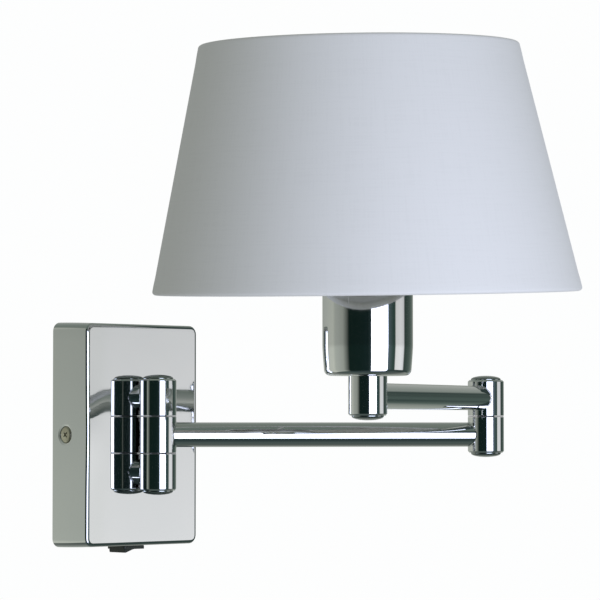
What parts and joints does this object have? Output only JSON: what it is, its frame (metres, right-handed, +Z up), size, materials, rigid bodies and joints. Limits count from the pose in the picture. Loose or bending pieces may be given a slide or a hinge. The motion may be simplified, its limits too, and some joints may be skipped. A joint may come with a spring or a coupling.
{
  "type": "swing arm wall sconce",
  "caption": "Chrome wall lamp with a boxed wall casing, rocker switch, two swinging tube arms and a tapered fabric shade.",
  "frame": {"origin": "centre of the bracket's back face, which lies on the wall", "axes": "+Z up, -Y out from the wall into the room, +X to the right of somebody who looks at the wall"},
  "size_m": [0.275, 0.3093, 0.2803],
  "materials": {
    "chrome": "mirror-polished chrome plate",
    "zinc_steel": "yellowish zinc-plated steel",
    "brass": "plain brass",
    "black_plastic": "fine-grained black moulding",
    "white_plastic": "white moulding",
    "nylon": "dark nylon washer",
    "rubber": "black rubber",
    "flex_sheath": "pale flex sheath",
    "shade_fabric": "off-white laminated cotton with a fine plain weave",
    "shade_wire": "white enamelled wire",
    "opal_glass": "opal glass"
  },
  "bodies": {
    "wall_body": {"wall_bracket": "zinc_steel", "cable_grommet": "rubber", "wall_casing": "chrome", "casing_screw_left": "zinc_steel", "casing_screw_right": "zinc_steel", "terminal_block": "white_plastic", "terminal_screw_1": "brass", "terminal_screw_2": "brass", "terminal_screw_3": "brass", "earth_screw": "brass", "casing_flex": "flex_sheath", "switch_lead": "flex_sheath", "switch_housing": "black_plastic", "switch_tab_left": "brass", "switch_tab_right": "brass", "wall_knuckle_upper": "chrome", "wall_knuckle_lower": "chrome", "wall_hinge_cap_top": "chrome", "wall_hinge_cap_bottom": "chrome", "wall_hinge_pin": "zinc_steel", "wall_hinge_washer_upper": "nylon", "wall_hinge_washer_lower": "nylon", "stub_nut_upper": "zinc_steel", "stub_nut_lower": "zinc_steel"},
    "lower_arm": {"lower_arm_knuckle": "chrome", "lower_arm_tube": "chrome", "lower_arm_flex": "flex_sheath", "elbow_knuckle_lower": "chrome", "elbow_cap_bottom": "chrome", "elbow_washer": "nylon", "elbow_pin": "zinc_steel"},
    "upper_arm": {"elbow_knuckle_upper": "chrome", "elbow_cap_top": "chrome", "upper_arm_tube": "chrome", "upper_arm_flex": "flex_sheath", "lamp_post": "chrome", "lamp_post_cap": "chrome", "lampholder_cup": "chrome", "lamp_nipple": "zinc_steel", "lampholder_nut": "zinc_steel", "lampholder_body": "black_plastic", "lampholder_shell": "brass", "lampholder_contact": "brass", "shade_ring_nut_lower": "black_plastic", "shade_ring_nut_upper": "black_plastic", "bulb_cap": "brass", "bulb_glass": "opal_glass", "shade": "shade_fabric", "shade_top_ring": "shade_wire", "shade_bottom_ring": "shade_wire", "shade_spider": "shade_wire"},
    "rocker": {"switch_rocker": "black_plastic"}
  },
  "joints": [
    {"name": "wall_hinge", "type": "hinge", "parent": "wall_body", "child": "lower_arm", "pos_m": [0, -0.0415, 0], "axis": [0, 0, 1], "range_deg": [-147, 33]},
    {"name": "elbow_hinge", "type": "hinge", "parent": "lower_arm", "child": "upper_arm", "pos_m": [0.16128, -0.14623, 0.0105], "axis": [0, 0, 1], "range_deg": [-21, 279]},
    {"name": "rocker_tilt", "type": "hinge", "parent": "wall_body", "child": "rocker", "pos_m": [0, -0.0145, -0.06315], "axis": [0, 1, 0], "range_deg": [0, 18]}
  ]
}
